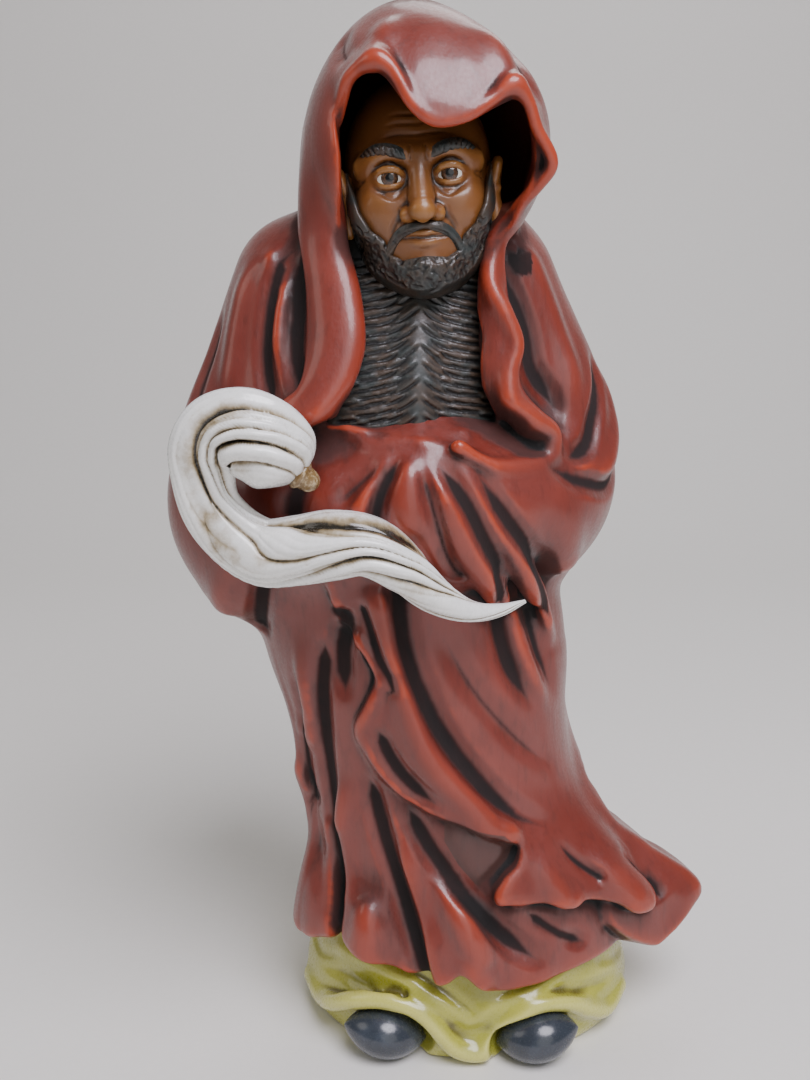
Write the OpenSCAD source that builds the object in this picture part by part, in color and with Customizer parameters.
// Hooded standing monk, a glazed slip-cast stoneware figure about 300 mm tall.
// It stands on a flat oval foot. The figure faces -Y, +Z is up, +X is its left side.
// Every node is one separately cast or pressed clay part, luted to its neighbour with slip.
// Outlines are kept as short tables at the reference size and scaled by the overall sizes.

/* [Overall] */
// height from the floor to the crown of the hood
figure_height = 300; // [240:1:360]
// width across both sleeves
robe_width = 133; // [106:1:160]
// depth of the body at the waist, without sleeves and drape
robe_depth = 74; // [60:1:90]

/* [Foot] */
// width of the oval foot
base_width = 103; // [86:1:108]
// depth of the oval foot
base_depth = 83; // [69:1:87]
// thickness of the foot plate
base_thickness = 5; // [3:0.5:8]
// diameter of the kiln vent hole under the foot
vent_diameter = 12; // [5:0.5:20]
// how far the vent hole sits behind the middle of the foot
vent_offset = 18; // [0:1:25]

/* [Shoes] */
// length of the shoe tip that shows
shoe_length = 26; // [20:1:32]
// height of the shoe tip
shoe_height = 14; // [10:0.5:17]
// how far the shoe tip stands out from the foot
shoe_reach = 6.5; // [3:0.5:9]

/* [Robes] */
// wall of the cast body
wall = 4; // [3:0.5:5]
// depth of the long folds at the hem
fold_depth = 2; // [0:0.1:3]
// how far the wind-blown corner stands out at the side
flare_reach = 24; // [12:1:30]
// fullness of the right sleeve beyond the body
right_sleeve_bulge = 24; // [14:1:30]
// fullness of the left sleeve beyond the body
left_sleeve_bulge = 22.5; // [14:1:28]
// fullness of the cloth over the hands
drape_bulge = 15.5; // [8:0.5:18]
// thickness of the two lapels
lapel_thickness = 6.5; // [3:0.5:8]
// thickness of the modelled chest panel
chest_thickness = 2; // [1:0.5:4]

/* [Head] */
// width of the head
head_width = 39; // [32:0.5:41]
// diameter of the neck tenon
neck_diameter = 15; // [11:0.5:17]
// length of the neck tenon
neck_length = 9; // [5:0.5:12]
// thickness of the beard
beard_thickness = 3; // [1.5:0.5:4]

/* [Hood] */
// width of the hood at its rim
hood_width = 58; // [53:1:70]
// wall of the hood
hood_wall = 3.5; // [2.5:0.5:4]

/* [Whisk] */
// thickness of the whisk at its fullest
whisk_diameter = 21; // [14:0.5:26]
// diameter of the binding round the root of the whisk
collar_diameter = 9; // [6:0.5:11]

/* [Fits] */
// clearance of the neck tenon in its bore, on the radius
fit_clearance = 0.3; // [0.1:0.05:0.6]
// slip layer between luted parts
luting_gap = 0.12; // [0.05:0.01:0.3]

/* [Hidden] */

$fn = 96;

// sizes at which the outlines below are drawn, and the scales that carry them to the sizes above
drawn_width = 133;
drawn_depth = 74;
drawn_height = 300;
drawn_base = 103;
kx = robe_width / drawn_width;
ky = robe_depth / drawn_depth;
kz = figure_height / drawn_height;

red = "#8E4338";
ochre = "#8B5A30";
yellow = "#C0B24A";
slate = "#4A5260";
white = "#E4E0D2";
dark = "#3C352D";

// angle step of every body ring, in degrees; the parts on the body share it
step = 6;

// heights of the seams, from the hem of the robe to the crown
base_top = base_thickness / kz;
hem_z = 30;
waist_z = 130;
right_sleeve_z = 124;
left_sleeve_z = 134;
drape_z = 142;
chest_z = 193;
chest_top_z = 232;
bore_z = 237.5;
neck_z = 242;
crown_z = drawn_height;

// middle of the neck bore
neck_x = -16;
neck_y = -9;

// angles of the upright seams round the body, 270 being the front
sleeve_back_a = 114;
sleeve_front_a = 246;
chest_right_a = 264;
chest_left_a = 312;
left_front_a = 336;
left_back_a = 426;
wrap_back_a = 474;

// least thickness of a rolled edge, and the joint between the drape and the parts above it
edge_wall = 1.2;
seam = 0.2;

// the hood: half width, middle of its rim, and how far its crown leans from that middle
hood_rx = hood_width / 2;
hood_cx = -18;
hood_cy = -10;
crown_dx = 4;
crown_dy = 6;
top_rx = hood_rx + 1.5;

// ---- smooth curve through a table whose first column rises

function span(t, x) = max([0, for (k = [0:len(t) - 2]) if (t[k][0] <= x) k]);

function slope(t, k, c) =
  let (lo = max(0, k - 1), hi = min(len(t) - 1, k + 1))
  (t[hi][c] - t[lo][c]) / (t[hi][0] - t[lo][0]);

function curve(t, x, c = 1) =
  x <= t[0][0] ? t[0][c] :
  x >= t[len(t) - 1][0] ? t[len(t) - 1][c] :
  let (
    k = span(t, x),
    h = t[k + 1][0] - t[k][0],
    u = (x - t[k][0]) / h,
    p = t[k][c],
    q = t[k + 1][c],
    m = slope(t, k, c) * h,
    n = slope(t, k + 1, c) * h
  )
  (2 * u * u * u - 3 * u * u + 1) * p + (u * u * u - 2 * u * u + u) * m
  + (3 * u * u - 2 * u * u * u) * q + (u * u * u - u * u) * n;

function ease(u) = let (v = min(1, max(0, u))) v * v * (3 - 2 * v);

function bump(x, mid, half) = exp(-pow((x - mid) / half, 2));

function oval(rx, rf, rb, a) =
  let (ry = sin(a) < 0 ? rf : rb)
  1 / sqrt(pow(cos(a) / rx, 2) + pow(sin(a) / ry, 2));

function scaled(p) = [p[0] * kx, p[1] * ky, p[2] * kz];

// ---- the cast body: height, middle x, middle y, half width, front depth, back depth

body = [
  [20, 0, 0, 54, 43.5, 41.5],
  [30, 0, 0, 53, 43, 41],
  [45, 0, 0, 48.5, 41, 39.5],
  [65, -6, 0, 44, 39, 38],
  [83, -11.5, 0, 41, 37, 36.5],
  [100, -15, 0, 41.5, 36, 36],
  [115, -17.5, 0, 44, 36, 36],
  [130, -20, 1, 45, 36, 37],
  [150, -23, 1, 44, 36, 38],
  [165, -24.5, 1, 43, 36, 38],
  [185, -24.5, 1, 42, 36, 37.5],
  [200, -24, 1, 41, 34, 36.5],
  [215, -23, 1, 40, 29.5, 34],
  [226, -22, 1, 38, 25.5, 31],
  [234, -20.5, 1, 35, 22, 26.5],
  [242, -18.5, 1, top_rx, 21, 21.5]
];

function body_at(z) = [for (c = [1:5]) curve(body, z, c)];

// long folds that run down the skirt and fade out at the waist
function fold(z, a) =
  z > waist_z + 10 ? 0 :
  fold_depth * (1 - ease((z - hem_z) / 110)) * cos(12 * a + 0.5 * z)
  + 0.4 * fold_depth * (1 - ease((z - hem_z - 10) / 90)) * cos(5 * a - 1.1 * z);

// a point at height z, angle a, and d outside the body
function body_point(z, a, d) =
  let (b = body_at(z), r = oval(b[2], b[3], b[4], a) + fold(z, a) + d)
  [b[0] + r * cos(a), b[1] + r * sin(a), z];

// ---- fullness of the parts laid on the body, by height

right_sleeve_full = [
  [124, 0.17], [131, 0.62], [140, 0.78], [150, 0.88], [162, 1], [175, 0.93], [183, 0.83],
  [192, 0.75], [212, 0.63], [227, 0.48], [236, 0.38], [242, 0.26]
];
left_sleeve_full = [
  [134, 0.14], [144, 0.55], [153, 0.85], [162, 1], [183, 1], [196, 0.88], [207, 0.76],
  [227, 0.44], [236, 0.26], [242, 0.16]
];
drape_full = [
  [142, 0.2], [150, 0.6], [160, 0.87], [172, 1], [182, 0.97], [188, 0.8], [193, 0.5]
];
// round the body: from the back edge of the right sleeve to its front edge
right_sleeve_round = [
  [114, 0.08], [130, 0.35], [150, 0.8], [180, 1], [205, 0.9], [225, 0.62], [246, 0.42]
];
left_sleeve_round = [[336, 0.42], [348, 0.75], [362, 1], [385, 0.92], [405, 0.5], [426, 0.08]];
drape_round = [[246, 0.62], [262, 0.86], [283, 1], [305, 0.92], [322, 0.75], [336, 0.62]];

function right_sleeve_t(z, a) =
  max(edge_wall, right_sleeve_bulge * curve(right_sleeve_full, z) * curve(right_sleeve_round, a));
function left_sleeve_t(z, a) =
  max(edge_wall, left_sleeve_bulge * curve(left_sleeve_full, z) * curve(left_sleeve_round, a));
function drape_t(z, a) = max(edge_wall, drape_bulge * curve(drape_full, z) * curve(drape_round, a));
function lapel_t(z, a, a0, a1) =
  lapel_thickness * (0.7 + 0.3 * sin(180 * (a - a0) / (a1 - a0)))
  * (1 - 0.25 * ease((z - neck_z + 17) / 17));
function chest_t(z, a) = chest_thickness * (1 + 0.25 * bump(a, 288, 10));

// the wrap-over skirt: its hem runs from the waist down to the blown corner
hem_line = [
  [246, 100], [258, 86], [270, 79], [281, 76], [290, 70], [297, 57], [312, 50], [325, 46],
  [335, 38], [345, 28], [355, 24], [365, 26], [380, 32], [400, 38], [430, 44], [480, 48]
];

function outer_robe_t(z, a) =
  let (
    hem = curve(hem_line, a),
    side = bump(a, 357, 15),
    drop = 1 - ease((z - 36) / 30)
  )
  3 + 2.2 * (1 - ease((z - hem) / 35))
  + (flare_reach - 5) * side * drop * (1 - 0.25 * ease((34 - z) / 12));

// how far the outermost cloth stands off the body at height z and angle a
function cloth_t(z, a0) =
  let (
    a = a0 < 96 ? a0 + 360 : a0,
    right = a >= sleeve_back_a && a < sleeve_front_a,
    left = a >= left_front_a && a < left_back_a,
    front = a >= sleeve_front_a && a < left_front_a
  )
  z > right_sleeve_z && right ? right_sleeve_t(z, a) :
  z > left_sleeve_z && left ? left_sleeve_t(z, a) :
  z > drape_z && z < chest_z && front ? drape_t(z, a) :
  z >= chest_z && front && a < chest_right_a ? lapel_t(z, a, sleeve_front_a, chest_right_a) :
  z >= chest_z && front && a >= chest_left_a ? lapel_t(z, a, chest_left_a, left_front_a) :
  z <= waist_z && a >= sleeve_front_a && a <= wrap_back_a ? outer_robe_t(z, a) : 1;

// moves a point off the cloth where it would sink into it
function clear_of_cloth(p, gap) =
  let (
    b = body_at(p[2]),
    dx = p[0] - b[0],
    dy = p[1] - b[1],
    a = (atan2(dy, dx) + 360) % 360,
    r = sqrt(dx * dx + dy * dy),
    s = max([for (e = [-3, 0, 3]) oval(b[2], b[3], b[4], a + e) + fold(p[2], a + e)
      + cloth_t(p[2], (a + e + 360) % 360)]) + gap,
    q = max(r, s)
  )
  [b[0] + q * cos(a), b[1] + q * sin(a), p[2]];

// ---- surfaces built from rows of points

// closed solid between an outer and an inner grid; wrap joins the last column to the first
module slab(outer, inner, wrap = false) {
  n = len(outer);
  m = len(outer[0]);
  e = wrap ? m : m - 1;
  pts = [for (r = outer) each r, for (r = inner) each r];
  q = [
    for (i = [0:n - 2]) for (j = [0:e - 1])
      let (k = (j + 1) % m) [i * m + j, (i + 1) * m + j, (i + 1) * m + k, i * m + k],
    for (i = [0:n - 2]) for (j = [0:e - 1])
      let (k = (j + 1) % m, s = n * m, t = s + m)
        [s + i * m + j, s + i * m + k, t + i * m + k, t + i * m + j],
    for (j = [0:e - 1]) let (k = (j + 1) % m, s = n * m) [j, k, s + k, s + j],
    for (j = [0:e - 1]) let (k = (j + 1) % m, s = n * m, t = (n - 1) * m)
      [t + k, t + j, s + t + j, s + t + k],
    if (!wrap) for (i = [0:n - 2]) let (s = n * m)
      [(i + 1) * m, i * m, s + i * m, s + (i + 1) * m],
    if (!wrap) for (i = [0:n - 2]) let (s = n * m, t = m - 1)
      [i * m + t, (i + 1) * m + t, s + (i + 1) * m + t, s + i * m + t]
  ];
  polyhedron([for (p = pts) scaled(p)], [for (f = q) each [[f[0], f[1], f[2]], [f[0], f[2], f[3]]]]);
}

// closed solid skinned over rings that share a point count, with a point at each end
module skin(rings, low, high) {
  n = len(rings);
  m = len(rings[0]);
  pts = [for (r = rings) each r, low, high];
  polyhedron(
    [for (p = pts) scaled(p)],
    [
      for (i = [0:n - 2]) for (j = [0:m - 1])
        let (k = (j + 1) % m, p = i * m, q = (i + 1) * m)
          each [[p + j, q + j, q + k], [p + j, q + k, p + k]],
      for (j = [0:m - 1]) let (k = (j + 1) % m) [n * m, j, k],
      for (j = [0:m - 1]) let (k = (j + 1) % m, t = (n - 1) * m) [n * m + 1, t + k, t + j]
    ]
  );
}

// part laid on the body between two angles and two heights
module on_body(a0, a1, n, z0, z1, thick) {
  cols = [for (a = [a0:step:a1]) a];
  height = function (i, a) z0(a) + (z1 - z0(a)) * i / n;
  outside = function (z, a) body_point(z, a, thick(z, a));
  inside = function (z, a) body_point(z, a, max(luting_gap, thick(z, a) - wall));
  slab(
    [for (i = [0:n]) [for (a = cols) outside(height(i, a), a)]],
    [for (i = [0:n]) [for (a = cols) inside(height(i, a), a)]]
  );
}

// ---- foot

module foot_outline(h) {
  linear_extrude(height = h)
    polygon([for (a = [0:3:359]) [base_width / 2 * cos(a), base_depth / 2 * sin(a)]]);
}

module base_plate() color(yellow) {
  difference() {
    foot_outline(base_thickness);
    translate([0, vent_offset, -1]) cylinder(h = base_thickness + 2, d = vent_diameter);
  }
}

foot_rows = [
  [base_top, base_width / 2 / kx, base_depth / 2 / ky],
  [max(base_top + 1, 11), base_width / 2 / kx, base_depth / 2 / ky],
  [18, 0.5 * base_width / 2 / kx + 25.3, 0.5 * base_depth / 2 / ky + 20.4],
  [hem_z, 50, 40]
];

function foot_point(z, a, d) =
  let (r = oval(curve(foot_rows, z, 1), curve(foot_rows, z, 2), curve(foot_rows, z, 2), a) + d)
  [r * cos(a), r * sin(a), z];

module under_robe() color(yellow) {
  rows = [for (i = [0:5]) base_top + (hem_z - base_top) * i / 5];
  cols = [for (a = [0:step:359]) a];
  slab(
    [for (z = rows) [for (a = cols) foot_point(z, a, 0)]],
    [for (z = rows) [for (a = cols) foot_point(z, a, -wall)]],
    wrap = true
  );
}

// how far the middle of a shoe lies inside the foot, and how far the shoe clears the floor
shoe_root = 2;
shoe_lift = 0.3;

// almond-shaped tip of a shoe, pressed against the front of the foot
module shoe(x, roll) color(slate) {
  y = -base_depth / 2 * sqrt(1 - pow(x / (base_width / 2), 2));
  half_z = sqrt(pow(shoe_length / 2 * sin(roll), 2) + pow(shoe_height / 2 * cos(roll), 2));
  difference() {
    translate([x, y + shoe_root, half_z + shoe_lift])
      rotate([0, roll, 0])
        scale([shoe_length / 2, shoe_reach + shoe_root, shoe_height / 2])
          sphere(r = 1, $fn = 48);
    translate([0, 0, -1])
      scale([base_width / 2 + luting_gap, base_depth / 2 + luting_gap, 1])
        cylinder(h = 3 * shoe_height, r = 1);
  }
}

module shoe_right() shoe(-24.5 * base_width / drawn_base, 10);

module shoe_left() shoe(18.5 * base_width / drawn_base, -12);

// ---- robes

module inner_robe() color(red) {
  rows = [for (i = [0:10]) hem_z + (waist_z - hem_z) * i / 10];
  cols = [for (a = [0:step:359]) a];
  // the wall thickens towards the hem, and the folds show on the outside only
  inside = function (z, a) -wall - edge_wall * (1 - ease((z - hem_z) / 20)) - fold(z, a);
  slab(
    [for (z = rows) [for (a = cols) body_point(z, a, 0)]],
    [for (z = rows) [for (a = cols) body_point(z, a, inside(z, a))]],
    wrap = true
  );
}

module outer_robe() color(red) {
  on_body(
    sleeve_front_a, wrap_back_a, 10,
    function (a) curve(hem_line, a), waist_z,
    function (z, a) outer_robe_t(z, a)
  );
}

module mantle() color(red) {
  rows = [waist_z, 140, 150, 160, 170, 180, chest_z, 204, 215, 224, chest_top_z, 237, neck_z];
  cols = [for (a = [0:step:359]) a];
  bore = neck_diameter / 2 + fit_clearance;
  ring = function (r, z) [for (a = cols) [neck_x + r * cos(a), neck_y + r * sin(a), z]];
  slab(
    [for (z = rows) [for (a = cols) body_point(z, a, 0)], ring(bore, neck_z)],
    [for (z = rows) [for (a = cols) body_point(min(z, bore_z), a, -wall)], ring(bore, bore_z)],
    wrap = true
  );
}

module right_sleeve() color(red) {
  on_body(
    sleeve_back_a, sleeve_front_a, 14,
    function (a) right_sleeve_z, neck_z,
    function (z, a) right_sleeve_t(z, a)
  );
}

module left_sleeve() color(red) {
  on_body(
    left_front_a, left_back_a, 13,
    function (a) left_sleeve_z, neck_z,
    function (z, a) left_sleeve_t(z, a)
  );
}

module front_drape() color(red) {
  on_body(
    sleeve_front_a, left_front_a, 8,
    function (a) drape_z, chest_z - seam,
    function (z, a) drape_t(z, a)
  );
}

module right_lapel() color(red) {
  on_body(
    sleeve_front_a, chest_right_a, 8,
    function (a) chest_z, neck_z,
    function (z, a) lapel_t(z, a, sleeve_front_a, chest_right_a)
  );
}

module left_lapel() color(red) {
  on_body(
    chest_left_a, left_front_a, 8,
    function (a) chest_z, neck_z,
    function (z, a) lapel_t(z, a, chest_left_a, left_front_a)
  );
}

module chest() color(dark) {
  on_body(
    chest_right_a, chest_left_a, 6,
    function (a) chest_z, chest_top_z,
    function (z, a) chest_t(z, a)
  );
}

// ---- head; t is the angle down from the crown, a the angle round the head

// middle of the head, its half sizes to the front, the back and the crown, and its lowest ring
head_mid = [neck_x, -14, 252.5];
head_front = 21;
head_back = 19;
head_rise = 28;
jaw_t = 136;

// where the eyes, brows and ears sit: down from the crown, and to either side of the front
eye_t = 84;
eye_a = 19;
brow_t = 73;
ear_t = 102;
ear_a = 58;

// depth of the edge of a pressed part, before its own thickness
pressed_edge = 0.5;

// where the chin starts to hang below the neck: over the chest, and at the sides past the lapels
function chin_start(x) = -24 - 3.5 * ease((abs(x - head_mid[0]) - 5) / 5);

function chin_floor(x, y) = neck_z + luting_gap - 3 * max(0, chin_start(x) - y);

function head_r(t, a) =
  let (
    f = max(0, -sin(a)),
    rx = head_width / 2,
    ry = f > 0 ? head_front : head_back,
    side = sin(t) * cos(a) / rx,
    fore = sin(t) * sin(a) / ry,
    up = cos(t) / head_rise,
    h = 1 / sqrt(side * side + fore * fore + up * up)
  )
  // fuller chin, nose, and the two eye hollows
  h * (1 + 0.14 * bump(t, 138, 16) * f * f)
  + 5 * bump(t, 102, 9) * bump(a, 270, 9)
  - 1.2 * bump(t, eye_t, 6) * (bump(a, 270 - eye_a - 2, 8) + bump(a, 270 + eye_a + 2, 8));

function on_head(t, a, d) =
  let (
    r = head_r(t, a) + d,
    x = head_mid[0] + r * sin(t) * cos(a),
    y = head_mid[1] + r * sin(t) * sin(a),
    z = head_mid[2] + r * cos(t)
  )
  [x, y, max(z, chin_floor(x, y))];

module head() color(ochre) {
  cols = [for (a = [0:10:359]) a];
  ring = function (r, z) [for (a = cols) [neck_x + r * cos(a), neck_y + r * sin(a), z]];
  r = neck_diameter / 2;
  skin(
    [
      ring(r, neck_z - neck_length),
      ring(r, neck_z + luting_gap),
      for (t = [jaw_t:-9:8]) [for (a = cols) on_head(t, a, 0)]
    ],
    [neck_x, neck_y, neck_z - neck_length],
    [head_mid[0], head_mid[1], head_mid[2] + head_rise]
  );
}

// small part laid on the head inside an oval outline
module on_face(t0, a0, dt, da, thick, lean = 0) {
  n = 8;
  spot = function (u, v) let (x = u * sqrt(1 - v * v / 2), y = v * sqrt(1 - u * u / 2))
    [t0 + dt * y + lean * x, a0 + da * x, sqrt(max(0, 1 - x * x - y * y))];
  off = function (k, s) k == 0 ? luting_gap : pressed_edge + thick * s;
  grid = function (k) [for (i = [-n:2:n]) [for (j = [-n:2:n])
    let (s = spot(j / n, -i / n)) on_head(s[0], s[1], off(k, s[2]))]];
  slab(grid(1), grid(0));
}

module beard() color(dark) {
  rows = [for (i = [0:6]) i / 6];
  cols = [for (a = [204:8:336]) a];
  low = jaw_t + 4;
  top = function (a) 124 - 26 * pow(abs(a - 270) / 66, 3);
  off = function (k, v)
    k == 0 ? luting_gap : pressed_edge + 0.1 + beard_thickness * sqrt(max(0, sin(180 * v)));
  grid = function (k) [for (v = rows) [for (a = cols)
    on_head(low + (top(a) - low) * v, a, off(k, v))]];
  slab(grid(1), grid(0));
}

module moustache() color(dark) {
  rows = [for (i = [0:4]) i / 4];
  cols = [for (a = [248:4:292]) a];
  mid = function (a) 112 + 1.5 * pow((a - 270) / 22, 2);
  off = function (k, v) k == 0 ? luting_gap : pressed_edge + 1.3 * sin(180 * v);
  grid = function (k) [for (v = rows) [for (a = cols) on_head(mid(a) + 3 - 6 * v, a, off(k, v))]];
  slab(grid(1), grid(0));
}

module eyebrow_right() color(dark) on_face(brow_t, 270 - eye_a, 2.6, 11, 1.2, -1);

module eyebrow_left() color(dark) on_face(brow_t, 270 + eye_a, 2.6, 11, 1.2, 1);

module eye_right() color(white) on_face(eye_t, 270 - eye_a, 4.2, 8, 1.2);

module eye_left() color(white) on_face(eye_t, 270 + eye_a, 4.2, 8, 1.2);

module ear_right() color(ochre) on_face(ear_t, 270 - ear_a, 12, 7, 2.4);

module ear_left() color(ochre) on_face(ear_t, 270 + ear_a, 12, 7, 2.4);

// ---- hood: angle, reach and height of the rim round the hood's own middle

hood_rim = [
  [0, 0.93, 0], [30, 0.93, 0], [60, 1, 0], [90, 1.06, 0], [120, 1.05, 0], [150, 1.01, 0],
  [180, 1, 0], [210, 1.03, 0], [222, 1.1, 0.06], [232, 1.13, 0.28], [243, 1.17, 0.5],
  [254, 1.2, 0.61], [267, 1.26, 0.5], [276, 1.3, 0.42], [290, 1.3, 0.46], [303, 1.32, 0.57],
  [314, 1.4, 0.4], [323, 1.44, 0.22], [331, 1.25, 0.08], [340, 1, 0], [360, 0.93, 0]
];

function hood_point(t, a, d) =
  let (
    r = hood_rx * curve(hood_rim, a, 1),
    z = neck_z + luting_gap + (crown_z - neck_z) * curve(hood_rim, a, 2),
    q = (r - d) * sin(t),
    c = cos(t)
  )
  [hood_cx + crown_dx * c + q * cos(a), hood_cy + crown_dy * c + q * sin(a), z + (crown_z - z - d) * c];

module hood() color(red) {
  cols = [for (a = [0:step:359]) a];
  down = [for (t = [9:9:90]) t];
  skin(
    [
      for (t = down) [for (a = cols) hood_point(t, a, hood_wall)],
      for (i = [len(down) - 1:-1:0]) [for (a = cols) hood_point(down[i], a, 0)]
    ],
    hood_point(0, 0, hood_wall),
    hood_point(0, 0, 0)
  );
}

// ---- whisk: x, y, z and share of the full thickness along its curl

whisk_line = [
  [0, -49.5, -50, 182, 0.66], [1, -54.5, -50, 187.5, 0.95], [2, -61.5, -49, 189.5, 1.05],
  [3, -69, -46, 185.5, 0.95], [4, -73, -43.5, 176, 0.8], [5, -70.5, -44, 165, 0.7],
  [6, -61.5, -47, 157.5, 0.68], [7, -49, -50, 155.5, 0.68], [8, -37, -52.5, 157.5, 0.67],
  [9, -26, -53.5, 156.5, 0.62], [10, -16.5, -53, 150.8, 0.5], [11, -7, -50.5, 145.8, 0.36],
  [12, 4, -46, 143.2, 0.22], [13, 11.5, -41, 144.6, 0.08]
];

// last station of the curl, the gap between the whisk and the cloth, and the length of the collar
whisk_end = 13;
whisk_gap = 0.2;
collar_length = 5;

function whisk_mid(s) = [for (c = [1:3]) curve(whisk_line, s, c)];

function unit(v) = v / norm(v);

module whisk_tuft() color(white) {
  run = [for (s = [0:0.5:whisk_end]) s];
  rings = [for (s = run)
    let (
      p = whisk_mid(s),
      w = unit(whisk_mid(min(whisk_end, s + 0.2)) - whisk_mid(max(0, s - 0.2))),
      u = unit(cross(w, [0, -1, 0])),
      v = cross(w, u),
      r = whisk_diameter / 2 * curve(whisk_line, s, 4)
    )
    [for (a = [0:20:359]) clear_of_cloth(p + r * cos(a) * u + 0.8 * r * sin(a) * v, whisk_gap)]];
  skin(rings, clear_of_cloth(whisk_mid(0), whisk_gap), clear_of_cloth(whisk_mid(whisk_end), whisk_gap));
}

module whisk_collar() color(dark) {
  p = whisk_mid(0);
  w = unit(whisk_mid(0.2) - whisk_mid(0));
  u = unit(cross(w, [0, -1, 0]));
  v = cross(w, u);
  // distance behind the root of the whisk, and share of the full radius there
  profile = [[collar_length, 0.75], [4, 1], [2.5, 1], [1, 1], [0.15, 1]];
  rings = [for (h = profile) [for (a = [0:20:359])
    let (r = h[1] * collar_diameter / 2)
    clear_of_cloth(p - h[0] * w + r * (cos(a) * u + sin(a) * v), whisk_gap)]];
  skin(
    rings,
    clear_of_cloth(p - collar_length * w, whisk_gap),
    clear_of_cloth(p - profile[4][0] * w, whisk_gap)
  );
}

base_plate();
under_robe();
shoe_right();
shoe_left();
inner_robe();
outer_robe();
mantle();
right_sleeve();
left_sleeve();
front_drape();
right_lapel();
left_lapel();
chest();
head();
beard();
moustache();
eyebrow_right();
eyebrow_left();
eye_right();
eye_left();
ear_right();
ear_left();
hood();
whisk_tuft();
whisk_collar();
